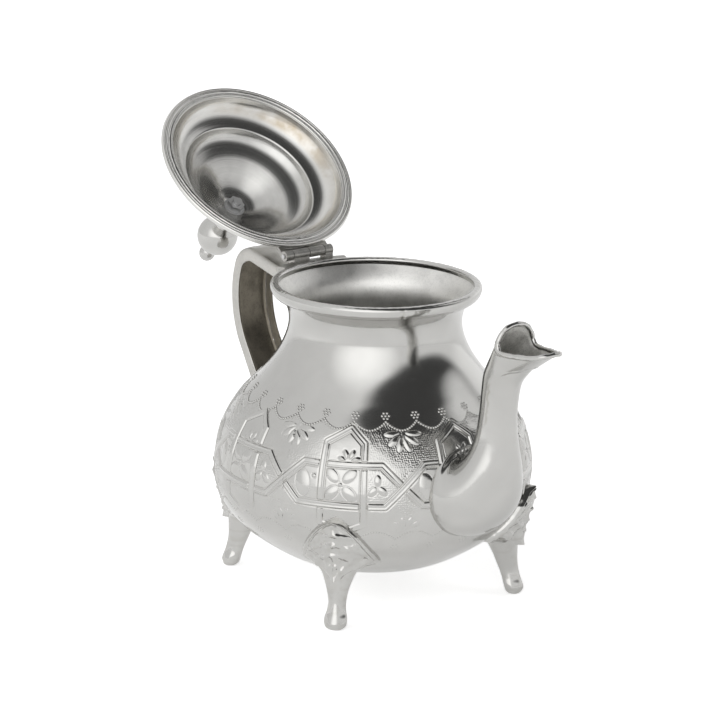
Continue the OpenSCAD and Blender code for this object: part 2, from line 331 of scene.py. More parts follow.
class Number:
    """A shader value that Python arithmetic extends with Math nodes."""

    def __init__(self, paint, socket):
        self.paint, self.socket = paint, socket

    def math(self, operation, *others):
        node = self.paint.add("ShaderNodeMath", {"operation": operation},
                              dict(enumerate((self, *others))))
        return Number(self.paint, node.outputs[0])

    def __add__(self, other):
        return self.math("ADD", other)

    def __sub__(self, other):
        return self.math("SUBTRACT", other)

    def __rsub__(self, other):
        return (self * -1) + other

    def __mul__(self, other):
        return self.math("MULTIPLY", other)

    def __truediv__(self, other):
        return self.math("DIVIDE", other)

    __radd__ = __add__
    __rmul__ = __mul__

    def held(self):
        """Kept between 0 and 1."""
        return self.math("MINIMUM", 1.0).math("MAXIMUM", 0.0)

    def between(self, low, high):
        """Soft step: 0 below low and 1 above high."""
        return ((self - low) / (high - low)).held()


class Paint:
    """Builds the nodes of one material or world."""

    def __init__(self, owner):
        owner.use_nodes = True
        self.tree = owner.node_tree
        self.tree.nodes.clear()

    def add(self, kind, settings=None, sockets=None):
        node = self.tree.nodes.new(kind)
        for key, value in (settings or {}).items():
            if key == "stops":
                self.set_stops(node, value)
            else:
                setattr(node, key, value)
        for key, value in (sockets or {}).items():
            target = node.inputs[key]
            source = value.socket if isinstance(value, Number) else value
            if isinstance(source, bpy.types.NodeSocket):
                self.tree.links.new(source, target)
            else:
                target.default_value = source
        return node

    @staticmethod
    def set_stops(node, stops):
        ramp = node.color_ramp.elements
        while len(ramp) > 1:
            ramp.remove(ramp[-1])
        for k, (place, colour) in enumerate(stops):
            stop = ramp[0] if k == 0 else ramp.new(place)
            stop.position, stop.color = place, (*colour, 1)

    def number(self, kind, settings=None, sockets=None, output=0):
        return Number(self, self.add(kind, settings, sockets).outputs[output])

    def place(self, *scale):
        """Position on the piece, in units of the given lengths in millimetres."""
        where = self.add("ShaderNodeTexCoord").outputs["Object"]
        sizes = [1000 / s for s in (scale * 3)[:3]]
        return self.add("ShaderNodeMapping", None, {"Vector": where, "Scale": sizes}).outputs[0]

    def noise(self, scale, detail=3.0, roughness=0.55):
        """Soft noise from 0 to 1 whose largest features are scale millimetres."""
        scale = scale if isinstance(scale, tuple) else (scale,)
        return self.number("ShaderNodeTexNoise", None, {
            "Vector": self.place(*scale), "Scale": 1.0, "Detail": detail, "Roughness": roughness})

    def value(self, name):
        return self.number("ShaderNodeAttribute", {"attribute_name": name}, None, "Fac")

    def mixed(self, share, first, second):
        node = self.add("ShaderNodeMix", {"data_type": "RGBA"}, {0: share, 6: first, 7: second})
        return node.outputs[2]

    def bump(self, height):
        """Normals of a surface raised by this height in millimetres."""
        return self.add("ShaderNodeBump", None, {
            "Height": height, "Distance": MM, "Strength": 1.0}).outputs[0]

    def metal(self, colour, roughness, normal):
        shader = self.add("ShaderNodeBsdfPrincipled", None, {
            "Base Color": colour, "Metallic": 1.0, "Roughness": roughness, "Normal": normal})
        self.add("ShaderNodeOutputMaterial", None, {"Surface": shader.outputs[0]})


def new_finish(name):
    material = bpy.data.materials.new(name)
    return material, Paint(material)


def colour(rgb, alpha=1.0):
    return (*rgb, alpha)


def polished_silver(name, tint, low, high, wave, recess=None):
    """Polished plate: faint handling marks, slow waviness and darker, browner recesses."""
    material, paint = new_finish(name)
    clouds = paint.noise(14)
    marks = paint.noise((9, 9, 0.8), 6.0, 0.7)
    grain = paint.noise(0.35, 2.0)
    rough = low + (high - low) * clouds + marks.between(0.55, 0.75) * 0.07
    base = paint.mixed(clouds.between(0.35, 0.8), colour(tint),
                       colour([c * 0.93 for c in tint]))
    if recess:
        depth = paint.value(recess).held()
        base = paint.mixed(depth * (0.15 + clouds * 0.5), base, colour((0.30, 0.275, 0.22)))
        rough = rough + depth * 0.06
    height = paint.noise(5.0, 2.0) * wave + marks * 0.0012 + grain * 0.0016
    paint.metal(base, rough.held(), paint.bump(height))
    return material


def worn_silver(name, tint, rough, pits, soot=1.0):
    """Cast or soldered metal: satin, pitted and dark in the hollows."""
    material, paint = new_finish(name)
    clouds = paint.noise(6, 5.0, 0.65)
    pores = paint.noise(0.7, 4.0, 0.6)
    dark = ((1 - clouds.between(0.3, 0.55)) * 0.55
            + (1 - pores.between(0.32, 0.5)) * 0.35) * soot
    base = paint.mixed(dark.held(), colour(tint), colour([c * 0.42 for c in tint]))
    paint.metal(base, (rough + clouds * 0.15 + (1 - pores) * 0.1).held(),
                paint.bump(clouds * pits * 2 + pores * pits))
    return material


def spun_satin(name, tint):
    """Inside of the lid: fine turned rings over dull plate, with a painted sheen lightening the
    outer band.
    """
    material, paint = new_finish(name)
    spin = paint.value("turned")
    rings = paint.number("ShaderNodeTexNoise", {"noise_dimensions": "1D"}, {
        "W": spin * 2.2, "Scale": 1.0, "Detail": 5.0, "Roughness": 0.7})
    clouds = paint.noise(9, 4.0)
    base = paint.mixed(clouds.between(0.3, 0.75), colour(tint),
                       colour([c * 0.88 for c in tint]))
    # Outer band painted 1.2 times lighter: a painted sheen for its brighter polish
    base = paint.mixed(spin.between(36.6, 37.6), base, colour([c * 1.2 for c in tint]))
    stain = paint.value("stain") * clouds.between(0.25, 0.6)
    base = paint.mixed(stain * 0.7, base, colour((0.34, 0.26, 0.15)))
    paint.metal(base, (0.12 + rings * 0.14 + clouds * 0.05).held(),
                paint.bump(rings * 0.018 + clouds * 0.006))
    return material


# ---------------------------------------------------------------- chasing on the belly

# First panel's middle, and the panels' and the swags' spacing round the pot, in degrees
PANEL_TURN, PANEL_SPAN = -49.75, 45.0
SWAG_TURN, SWAG_SPAN = -33.65, 360 / 26
LOW_SWAG_TURN = -30.5
# Heights of both chains, under their rosettes and between them, and of the rosettes
SWAG_TOP, SWAG_SAG, ROSETTES = 90.0, 87.0, 92.0
LOW_SWAG_TOP, LOW_SWAG_SAG, LOW_ROSETTES = 42.0, 45.5, 37.6
CHAIN_PITCH, ROSETTE_R, BEAD_SINK = 1.15, 1.45, 0.05
# The band's edges, and how deep the plain wall runs behind it
BAND_LOW, BAND_HIGH, BAND_SINK = 35.5, 92.5, 0.6
STIPPLE_PITCH = 0.92
# Straps as runs of [turn, height], each laid over the ones before it
STRAPS = [
    [(7.6, 82.2), (7.6, 50.0)],
    [(-13, 73.8), (14.2, 74.0), (28.6, 57.1), (33, 57.1)],
    [(7.6, 52.0), (7.6, 48.8), (0, 44.6), (-7.7, 48.8), (-7.7, 82.2), (1.6, 87.6), (7.6, 82.2),
     (7.6, 77.5)],
    [(-13, 57.1), (15.2, 57.0), (30, 73.9), (34, 73.9)],
    [(7.6, 62.0), (7.6, 50.0)],
]
STRAP_STATIONS = [0, 0.35, 0.85, 1.15, 1.45, 1.75, 2.2]
STRAP_HEIGHTS = [0.32, 0.36, 0.54, 0.3, -0.2, -0.22, 0.0]
# Ovals as [turn, height, half width, half height, tilt] in millimetres and degrees
PETALS = [
    (-3.9, 69.6, 2.15, 3.5, 44), (2.5, 69.6, 2.15, 3.5, -44), (-3.9, 62.2, 2.15, 3.5, -44),
    (2.5, 62.2, 2.15, 3.5, 44), (-0.7, 65.9, 0.75, 0.75, 0),
    (12.5, 68.2, 1.4, 2.2, 0), (10.9, 63.6, 1.4, 2.2, -40), (14.3, 63.8, 1.4, 2.2, 46),
    (-14.8, 65.2, 3.0, 5.2, 8), (-10.6, 68.6, 0.9, 0.9, 0),
    (-0.6, 76.0, 1.0, 1.9, 66), (0.6, 77.9, 1.0, 2.0, 24), (2.8, 77.9, 1.0, 2.0, -24),
    (4.2, 76.0, 1.0, 1.9, -66),
]
# Half flowers: turn, heights of the hanging and the standing one, and reach of their petals
FAN_TURN, FAN_TOP, FAN_LOW = 22.9, 86.2, 46.0
FAN_TOP_REACH, FAN_LOW_REACH, FAN_RADIUS = 5.0, 4.2, 64


def swag_height(turn, first, apex, sag):
    """Height of the chain under its rosettes, at these turns."""
    w = np.abs((turn - first + SWAG_SPAN / 2) % SWAG_SPAN - SWAG_SPAN / 2) / (SWAG_SPAN / 2)
    return sag + (apex - sag) * (1 - w) ** 1.8


def fans():
    """Petals of the half flowers that hang and stand between the panels."""
    petals = []
    for centre, way, reach in ((FAN_TOP, -1, FAN_TOP_REACH), (FAN_LOW, 1, FAN_LOW_REACH)):
        for lean in (-85, -51, -17, 17, 51, 85):
            turn = FAN_TURN + math.degrees(reach * math.sin(math.radians(lean)) / FAN_RADIUS)
            height = centre + way * reach * math.cos(math.radians(lean)) * 0.86
            petals.append((turn, height, 1.3, reach * 0.62, -lean * way))
    return petals


def strap_distance(x, y, run):
    """Distance from the points to a run of strap with square-cut ends."""
    near = np.full(x.shape, 99.0)
    for k, ((ax, ay), (bx, by)) in enumerate(zip(run[:-1], run[1:])):
        dx, dy = bx - ax, by - ay
        t = ((x - ax) * dx + (y - ay) * dy) / (dx * dx + dy * dy)
        cut = ((t < 0) & (k == 0)) | ((t > 1) & (k == len(run) - 2))
        t = np.clip(t, 0, 1)
        d = np.hypot(x - ax - t * dx, y - ay - t * dy)
        near = np.minimum(near, np.where(cut, 99.0, d))
    return near


def speckle(x, y, pitch):
    """Distance to the nearest punch mark of a hand-stippled ground."""
    i, j = np.floor(x / pitch), np.floor(y / pitch)
    near = np.full(x.shape, 9.0)
    for a in (-1, 0, 1):
        for b in (-1, 0, 1):
            px = (i + a + 0.25 + 0.5 * scatter(i + a, j + b)) * pitch
            py = (j + b + 0.25 + 0.5 * scatter(j + b + 7, i + a)) * pitch
            near = np.minimum(near, np.hypot(x - px, y - py))
    return near


def chased_relief(turn, z):
    """Height of the chasing over the plain belly in mm, at turns and heights."""
    along_up = belly_length(z)
    radius = belly_radius(z)
    round_up = np.radians(turn) * radius
    top = swag_height(turn, SWAG_TURN, SWAG_TOP, SWAG_SAG)
    low = swag_height(turn, LOW_SWAG_TURN, LOW_SWAG_TOP, LOW_SWAG_SAG)
    inside = ease(low - 0.3, low + 0.5, z) * (1 - ease(top - 0.5, top + 0.3, z))
    u = (turn - PANEL_TURN + PANEL_SPAN / 2) % PANEL_SPAN - PANEL_SPAN / 2
    window = (np.abs(u) < 7.7) & (z > 57) & (z < 87.5 - np.abs(u - 1.6) * 0.62)
    oval = (u < -8) & (u > -22) & (np.abs(z - 65.4) < 8 - np.abs(u + 13) * 0.3)
    marks = speckle(round_up, along_up, STIPPLE_PITCH)
    stipple = inside * (1 - np.where(window | oval, 1.0, 0.0))
    patchy = 0.35 + 0.65 * ease(-0.35, 0.35, lumps(round_up / 6.5, along_up / 5.0))
    height = stipple * patchy * (-0.03 - 0.15 * (1 - ease(0.12, 0.42, marks)))
    for side in (-PANEL_SPAN, 0, PANEL_SPAN):
        v = u + side
        for pu, pz, half_w, half_h, tilt in [*PETALS, *fans()]:
            near = np.abs(v - pu) < 7
            if not near.any():
                continue
            x = np.radians(v - pu) * radius
            y = along_up - belly_length(pz)
            c, s = math.cos(math.radians(tilt)), math.sin(math.radians(tilt))
            q = np.hypot((x * c + y * s) / half_w, (-x * s + y * c) / half_h)
            edge = ease(1.0, 1.0 + 0.55 / min(half_w, half_h), q)
            dome = np.where(q < 1, 0.02 + 0.4 * np.clip(1 - q * q, 0, 1) ** 0.7,
                            -0.2 * (1 - np.abs(2 * edge - 1)) + 0.02 * (1 - edge))
            height = np.where(near & (edge < 1), dome, height)
    for side in (-PANEL_SPAN, 0, PANEL_SPAN):
        v = u + side
        x = np.radians(v) * radius
        for run in STRAPS:
            middle = belly_radius((run[0][1] + run[-1][1]) / 2)
            drawn = [(math.radians(k) * middle, float(belly_length(h))) for k, h in run]
            d = strap_distance(x * middle / radius, along_up, drawn)
            cover = 1 - ease(1.7, 2.2, d)
            height = height * (1 - cover) + cover * np.interp(d, STRAP_STATIONS, STRAP_HEIGHTS)
    height = height * (0.5 + 0.5 * ease(46, 56, z))
    hand = lumps(round_up / 3.1, along_up / 2.7) * 0.05 * inside
    return height + hand


def chased_sector(first, last, columns, rows):
    """One part of the chased band, from one turn to another, on the belly's surface."""
    relief = {}

    def place(s, t):
        turn = first + (last - first) * s
        z = BAND_LOW + (BAND_HIGH - BAND_LOW) * t
        height = chased_relief(turn, z)
        relief["height"] = height
        return on_belly(turn, z, height)

    sector = wrapped("chased_sector", columns, rows, place, weld=False)
    surface_value(sector, "recess", np.clip((-relief["height"] - 0.1) / 0.25, 0, 1) * 0.6)
    return sector


def bead(radius, flat=0.75):
    """One low punched dome, standing on the floor plane."""
    nothing_selected()
    bpy.ops.mesh.primitive_uv_sphere_add(segments=9, ring_count=6, radius=radius * MM)
    obj = named("bead")
    with editing(obj):
        bpy.ops.mesh.bisect(plane_co=(0, 0, -radius * MM * 0.3), plane_no=(0, 0, 1),
                            clear_inner=True)
        bpy.ops.mesh.select_all(action="SELECT")
        bpy.ops.transform.resize(value=(1, 1, flat))
    return smooth_shaded(obj)


def stand_on_belly(turn, z, sink=0.0):
    """Matrix that stands a part drawn on the floor upright on the belly's surface."""
    here, out, side = (Vector(on_belly(turn, z, h)) for h in (-sink, 1, 0))
    up = (out - side).normalized()
    a = math.radians(turn)
    east = Vector((-math.sin(a), math.cos(a), 0))
    north = up.cross(east)
    turnover = Matrix((east, north, up)).transposed().to_4x4()
    return Matrix.Translation(here * MM + Vector((AXIS_X, 0, 0))) @ turnover


def swag_border(name, first, apex, sag, rosette_z, size):
    """Chain of punched beads hung in swags under seven-dot rosettes, all round the belly."""
    chain = bead(size)
    spots = []
    steps = 400
    turns = first + SWAG_SPAN * np.arange(steps + 1) / steps
    heights = swag_height(turns, first, apex, sag)
    path = np.stack(on_belly(turns, heights), -1)
    run = run_length(path)
    count = round(run[-1] / CHAIN_PITCH)
    for k in range(count):
        here = run[-1] * k / count
        spots.append(stand_on_belly(float(np.interp(here, run, turns)),
                                    float(np.interp(here, run, heights)), BEAD_SINK))
    dots = [(0.0, 0.0)] + [(ROSETTE_R * math.cos(a), ROSETTE_R * math.sin(a))
                           for a in np.radians(np.arange(0, 360, 60))]
    scale = math.hypot(1, float(np.interp(rosette_z, BODY[:, 1], BODY_SLOPE)))
    for x, y in dots:
        turn = first + math.degrees(x / float(belly_radius(rosette_z)))
        spots.append(stand_on_belly(turn, rosette_z + y / scale, BEAD_SINK))
    swag = joined("swag", copies(chain, spots))
    removed(chain)
    border = joined(name, copies(swag, [turn_about_axis(SWAG_SPAN * k) for k in range(26)]))
    removed(swag)
    return border


def body_wall():
    """Spun belly and neck: outside, turned lip, inside and base hole, with the band's seat sunk."""
    below = [(r, z) for r, z in BODY if z < BAND_LOW]
    above = [(r, z) for r, z in BODY if z > BAND_HIGH]
    seat = [(float(belly_radius(z)), z) for z in (BAND_LOW, BAND_HIGH)]
    sunk = [on_belly(0, z, -BAND_SINK)[::2]
            for z in np.linspace(BAND_LOW + 0.4, BAND_HIGH - 0.4, 60)]
    inner = [on_belly(0, z, -BODY_WALL)[::2] for z in BODY[::-1, 1]]
    return [*below, seat[0], *sunk, seat[1], *above, *inner, tuple(BODY[0])]


def buried(obj, depth=0.5):
    """Pushes what lies inside the belly back into the thickness of its wall."""
    p = corners(obj)
    r = np.hypot(p[:, 0], p[:, 1])
    limit = belly_radius(p[:, 2]) - depth
    inside = (r < limit) & (p[:, 2] < BODY[-1, 1]) & (p[:, 2] > BODY[0, 1])
    scale = np.where(inside, limit / np.maximum(r, 0.01), 1)
    p[:, 0] *= scale
    p[:, 1] *= scale
    put_corners(obj, p)
    return obj


def roughened(obj, size, depth):
    """Hand-worked unevenness: lumps of this size and depth along the surface normals."""
    p = corners(obj)
    flat = np.empty(len(p) * 3, np.float32)
    obj.data.vertex_normals.foreach_get("vector", flat)
    lump = lumps(p[:, 0] / size + p[:, 2] / size * 0.7, p[:, 1] / size + p[:, 2] / size * 0.6)
    put_corners(obj, p + flat.reshape(-1, 3) * (lump * depth)[:, None])
    return obj


# ---------------------------------------------------------------- spout, handle and rim

RIM = smooth_line([
    (44.0, 134.1), (44.0, 131.4), (45.2, 132.3), (45.9, 133.5), (46.2, 134.9), (46.0, 136.0),
    (45.4, 136.65), (44.5, 136.9), (43.4, 136.8), (42.75, 136.45), (42.5, 135.6), (42.7, 134.3)], 3)
RIM_JOINT_TURN = -24.0

# Spout stations: [distance out, height, rise of the flow, half depth, half width]
SPOUT = smooth_line([
    (54, 58.5, 0, 20.5, 23.3), (63, 58.8, 2, 20.2, 23), (69.5, 60.2, 16, 19, 22.2),
    (74.2, 63.4, 37, 16.4, 20), (77.7, 68.4, 56, 13.8, 16.8), (80.2, 75.2, 72, 11.6, 13.4),
    (81.6, 82.8, 83, 9.7, 10.4), (82.2, 90.5, 88, 8.5, 8.7), (82.7, 99, 88, 8, 8),
    (83.6, 107.5, 84, 8.1, 8.1), (85.3, 114, 80, 8.6, 8.7), (89.2, 119.6, 86, 10.2, 9.4)], 8)
# Half of the open mouth's rim, from the tip of the lip back and up round the hood
MOUTH = smooth_line([
    (115.9, 0, 130.9), (115.5, 3.0, 130.7), (113.9, 5.4, 130.2), (110.8, 7.2, 129.5),
    (105.6, 8.7, 128.9), (98.2, 10.0, 128.3), (93.4, 10.5, 128.6), (91.4, 10.3, 130.8),
    (91.2, 9.3, 133.8), (91.4, 7.2, 136.6), (91.7, 4.0, 138.5), (91.9, 0, 139.1)], 4)
MOUTH_MIDDLE = np.array([101.0, 0.0, 122.0])
# Wall and lip thickness, the share of the length where the mouth begins, and the joint's side
SPOUT_WALL, LIP_ROLL = 1.2, 1.05
MOUTH_FROM, SPOUT_JOINT_TURN = 0.8, 278

HANDLE_LOW, HANDLE_RISE, HANDLE_LEAN, HANDLE_FALL = (-87, 88.9), 122, 72, 11.5
HANDLE_BIG_R, HANDLE_CORNER_R = 46.6, 13
# Half of the channel's section as [depth from the back, across]: the back, then the hollow
CHANNEL_BACK = [(6.1, 9.7), (5.6, 10.0), (3.5, 10.0), (2.0, 9.95), (1.1, 9.7), (0.45, 9.1),
                (0.15, 8.2), (0.0, 6.0), (-0.08, 3.0), (-0.1, 0.0)]
CHANNEL_HOLLOW = [(6.2, 9.2), (5.9, 8.75), (4.0, 8.6), (2.6, 8.3), (1.8, 7.4), (1.5, 6.0),
                  (1.45, 0.0)]
CHANNEL = np.array([
    *CHANNEL_BACK, *((d, -w) for d, w in CHANNEL_BACK[-2::-1]),
    *((d, -w) for d, w in CHANNEL_HOLLOW), *CHANNEL_HOLLOW[-2::-1], CHANNEL_BACK[0]])


def spout_skin(s, t):
    """Outside of the spout: s runs round from its front, t from its root to the mouth's rim."""
    k = 2 * np.pi * s
    station = along(SPOUT, np.clip(t / MOUTH_FROM, 0, 1))
    tilt = np.radians(station[:, 2] - 90)
    keel = ease(0.6, 0.8, t) * 0.3 * np.clip(np.cos(k), 0, 1) ** 3
    u = station[:, 3] * np.cos(k)
    x, z = station[:, 0] + u * np.cos(tilt), station[:, 1] + u * np.sin(tilt)
    y = station[:, 4] * np.sin(k) * (1 - keel)
    rim = along(MOUTH, np.abs((s + 0.5) % 1 - 0.5) * 2)
    share = np.clip((t - MOUTH_FROM) / (1 - MOUTH_FROM), 0, 1)
    x = x + (rim[:, 0] - x) * share
    y = y + (rim[:, 1] * np.sign(np.sin(k)) - y) * share
    z = z + (rim[:, 2] - z) * share
    seam = np.exp(-((np.sin(k) / 0.07) ** 2)) * ease(0.3, 0.5, t) * (1 - ease(0.8, 0.9, t))
    proud = seam * (0.12 + 0.16 * lumps(t * 95, s * 0))
    away = (t - 0.725 - 0.13 * np.clip(np.cos(k), 0, 1)) / 0.008
    soldered = ease(0.3, 0.7, np.cos(k))
    bead_up = np.exp(-(away ** 2)) * (0.4 + 0.3 * lumps(s * 160, t * 70))
    proud = proud + soldered * (bead_up - 0.5 * np.exp(-((away + 2.6) / 1.6) ** 2))
    roll = np.exp(-(((t - 0.985) / 0.014) ** 2)) * 0.45
    front = np.cos(k)
    return (x + (proud + roll) * front, y + (proud + roll) * np.sin(k),
            z + proud * 0.2 - roll * 0.4 * ease(0.2, 0.8, front))


def lip_roll(s, t):
    """Thick rolled edge that runs right round the spout's mouth."""
    loop = np.vstack([MOUTH, MOUTH[-2:0:-1] * (1, -1, 1), MOUTH[:1]])
    run = run_length(loop)
    at = t * run[-1]
    here = np.stack([np.interp(at, run, c) for c in loop.T], -1)
    ahead = np.stack([np.interp((at + 0.5) % run[-1], run, c) for c in loop.T], -1)
    along_it = ahead - here
    along_it /= np.linalg.norm(along_it, axis=1)[:, None]
    out = here - MOUTH_MIDDLE
    out -= along_it * np.sum(out * along_it, axis=1)[:, None]
    out /= np.linalg.norm(out, axis=1)[:, None]
    across = np.cross(along_it, out)
    thick = LIP_ROLL + 0.12 * lumps(at / 2.2, at * 0)
    a = 2 * np.pi * s
    place = (here - out * 0.7 + out * (np.cos(a) * thick)[:, None]
             + across * (np.sin(a) * thick)[:, None])
    return place[:, 0], place[:, 1], place[:, 2]


def handle_back():
    """Line of the handle's outer back as [distance, height] with its inward direction."""
    rise, lean, fall = (math.radians(a) for a in (HANDLE_RISE, HANDLE_LEAN, HANDLE_FALL))
    low = np.array(HANDLE_LOW, float)
    big = low + HANDLE_BIG_R * np.array([math.sin(rise), -math.cos(rise)])
    small = big + (HANDLE_BIG_R - HANDLE_CORNER_R) * np.array([-math.sin(lean), math.cos(lean)])
    points, inward = [], []
    arcs = ((big, HANDLE_BIG_R, rise, lean, 60), (small, HANDLE_CORNER_R, lean, -fall, 50))
    for c, r, a, b, n in arcs:
        for h in np.linspace(a, b, n, endpoint=False):
            points.append(c + r * np.array([-math.sin(h), math.cos(h)]))
            inward.append((math.sin(h), -math.cos(h)))
    start = np.array([math.cos(rise), math.sin(rise)])
    end = np.array([math.cos(fall), -math.sin(fall)])
    over = small + HANDLE_CORNER_R * np.array([math.sin(fall), math.cos(fall)])
    before = [low - start * d for d in np.linspace(32, 1, 30)]
    after = [over + end * d for d in np.linspace(0, 36, 36)]
    first, last = (math.sin(rise), -math.cos(rise)), (-math.sin(fall), -math.cos(fall))
    points = np.vstack([before, points, after])
    inward = np.vstack([[first] * len(before), inward, [last] * len(after)])
    return np.hstack([points, inward])


# ---------------------------------------------------------------- lid and finial

# Lid as [radius, height above its edge]: underside from rim to middle, then the top back out
LID_UNDER = smooth_line([
    (46.74, 1.3), (46.4, 0.5), (45.9, 0.1), (45.4, 0.3), (45.2, 0.75), (44.9, 0.35), (44.4, 0.1),
    (43.9, 0.3), (43.6, 0.6), (43.2, 0.3), (42.6, 0.1), (42.1, 0.3), (41.7, 0.8), (41.3, 1.0),
    (41.0, 2.0), (40.4, 3.6), (39.2, 5.4), (37.3, 7.3), (35.0, 8.9), (32.9, 9.9), (31.6, 10.4),
    (31.0, 10.9), (30.6, 11.9), (29.9, 13.3), (28.5, 14.9), (26.6, 16.2), (24.2, 17.4),
    (21.8, 18.7), (19.2, 20.5), (16.0, 22.9), (12.6, 25.5), (9.4, 27.7), (7.0, 28.9),
    (5.0, 29.8), (2.1, 30.4)], 4)
LID_TOP = smooth_line([
    (2.1, 31.3), (5.2, 31.2), (7.4, 30.1), (10.0, 28.6), (13.2, 26.3), (16.6, 23.7),
    (19.8, 21.3), (22.2, 19.6), (24.6, 18.3), (27.1, 17.1), (29.2, 15.6), (30.8, 13.8),
    (31.5, 12.2), (31.9, 11.3), (33.3, 10.7), (35.5, 9.7), (37.9, 8.0), (39.8, 6.0),
    (41.1, 4.0), (41.9, 2.7), (42.8, 2.4), (43.8, 2.55), (45.2, 2.6), (46.3, 2.2),
    (46.74, 1.3)], 4)
LID_BEAD_R = 41.9
FINIAL = smooth_line([
    (2.03, 31.35), (6.3, 31.3), (6.7, 31.9), (6.0, 32.8), (4.6, 34.2), (3.3, 36.2), (2.9, 38.4),
    (3.4, 39.9), (4.7, 40.5), (4.9, 41.1), (4.2, 41.7), (5.4, 42.8), (7.6, 44.8), (9.0, 47.6),
    (9.4, 50.4), (9.0, 53.3), (7.6, 56.0), (5.2, 58.2), (3.0, 59.3), (2.5, 59.9), (2.4, 60.4),
    (3.1, 61.3), (3.7, 62.9), (3.65, 64.4), (2.9, 66.0), (1.5, 67.0), (0.0, 67.3)], 4)


# ---------------------------------------------------------------- feet

FOOT_TURNS = (37.75, 127.75, 217.75, 307.75)
FOOT_NODES = ("foot_front_left", "foot_rear_left", "foot_rear_right", "foot_front_right")
# Leg stations: [height, inner radius, outer radius, width across]
LEG = smooth_line([
    (0.0, 62.6, 68.2, 6.6), (1.0, 61.6, 69.1, 9.2), (2.6, 61.0, 69.6, 10.1), (4.8, 60.3, 68.9, 9.9),
    (7.2, 59.6, 68.0, 8.5), (10.2, 58.5, 67.2, 7.8), (13, 57.3, 66.7, 8.2), (17, 55.7, 66.3, 9.9),
    (21, 53.8, 66.3, 12.6), (24.0, 52.2, 66.3, 15.2), (26, 51.4, 66.2, 18.6), (28, 51, 66.0, 24.5),
    (29.8, 51, 65.6, 29.5), (31.6, 52, 65.0, 31), (34, 54, 64.4, 29)], 5)
SHIELD_LOW, SHIELD_TOP = 25.0, 50.6
# Half width of the shield at heights from its bottom corners to its crown
SHIELD_SIDE = np.array([(25.0, 8.2), (26.0, 10.6), (27.2, 14.4), (28.4, 17.0), (29.6, 17.2),
                        (31.0, 16.8), (33.0, 16.0), (36.5, 14.4), (40.0, 12.5), (43.5, 10.2),
                        (46.3, 7.7), (48.4, 5.1), (49.8, 2.6), (50.6, 0.0)])
# Thickness of the casting down its middle, over the belly
SHIELD_CREST = np.array([(25.0, 14.6), (26.7, 12.4), (29.5, 9.6), (32, 7.5), (37.7, 5.0),
                         (42, 3.9), (46.8, 3.4), (50.6, 3.2)])


def leg_skin(s, t):
    """Waisted leg with a flared hoof: s runs round, t runs up from the sole."""
    k = 2 * np.pi * s
    station = along(LEG, t)
    z, half_d, half_w = station[:, 0], (station[:, 2] - station[:, 1]) / 2, station[:, 3] / 2
    c, n = np.cos(k), np.sin(k)
    hoof = (c > 0) * (1 - ease(9, 17, z)) * ease(0.3, 1.6, z)
    round_front = np.sign(c) * np.abs(c) ** 0.85
    x = (round_front + (1 - np.abs(n) ** 1.25 - round_front) * hoof * 0.85) * half_d
    y = np.sign(n) * np.abs(n) ** (0.9 - 0.25 * hoof) * half_w
    return station[:, 1] + half_d + x, y, z


def leaf_relief(w, z, half):
    """Cast acanthus leaf on the shield: border roll, midrib and fronds. w runs -1 to 1."""
    edge = half * (1 - np.abs(w))
    border = np.exp(-(((edge - 1.5) / 0.8) ** 2)) * 0.8
    inside = ease(2.4, 3.4, edge)
    up = (z - 29) / 20
    rib = np.exp(-((w * half / 0.9) ** 2)) * 0.5 * (1 - up)
    fan = np.arctan2(w * half, z - 24.5)
    frond = 0.5 + 0.5 * np.cos(fan * 11 + 1.6 * np.sin(z * 0.55))
    curl = 0.5 + 0.5 * np.cos(np.hypot(w * half * 0.8, z - 26) * 1.35 + np.abs(fan) * 2.2)
    veins = 0.5 + 0.5 * np.cos(fan * 34 + z * 0.8)
    leaf = inside * (frond ** 2 * 0.68 + curl ** 3 * 0.6 + veins * 0.24) * ease(25, 29, z)
    sprig = np.exp(-(((np.abs(w * half) - 8.2 - (z - 27.5) * 0.35) / 1.2) ** 2)) * ease(33, 29, z)
    return border + rib * inside + leaf + sprig * 0.5 * ease(1.2, 2.2, edge)


def shield_skin(s, t):
    """Front of the cast shield, from its buried edge up over the border to the leaf."""
    z = SHIELD_LOW + (SHIELD_TOP - SHIELD_LOW) * np.sin(t * np.pi / 2) ** 0.9
    side = np.interp(z, *SHIELD_SIDE.T)
    w = np.sin((s - 0.5) * np.pi * 0.96) / math.sin(0.48 * math.pi)
    reach = 0.55
    y = w * (side + reach)
    inside = side * (1 - np.abs(w)) - np.abs(w) * reach
    crest = np.interp(z, *SHIELD_CREST.T)
    lean = np.maximum(side * 0.6, 3.2)
    body = 1.5 + (crest - 1.5) * np.exp(-((np.abs(y) / lean) ** 2.4))
    top = SHIELD_TOP - z
    wall = ease(-0.55, 0.35, inside) * ease(0.0, 0.25, top)
    height = -0.6 + (body + 0.6) * wall + leaf_relief(w, z, side) * ease(0.2, 0.9, inside)
    base = np.sqrt(np.maximum(belly_radius(z) ** 2 - y ** 2, 1))
    slope = np.interp(z, BODY[:, 1], BODY_SLOPE)
    low = ease(30, 24, z)
    return base + height * (1 + 0.12 * low), y * (1 + height * 0.004), z - slope * height * 0.12


# ---------------------------------------------------------------- settings


class TeapotFinishes(bpy.types.PropertyGroup):
    """Colours and polish of the metals."""

    silver: bpy.props.FloatVectorProperty(
        name="Silver", description="Colour of the polished plate", subtype="COLOR", size=3,
        min=0, max=1, default=(0.585, 0.58, 0.562))
    cast: bpy.props.FloatVectorProperty(
        name="Cast Metal", description="Colour of the satin castings and solder",
        subtype="COLOR", size=3, min=0, max=1, default=(0.50, 0.49, 0.465))
    polish: bpy.props.FloatProperty(
        name="Polish", description="Lowest roughness of the polished plate",
        subtype="FACTOR", min=0.02, max=0.6, default=0.1)


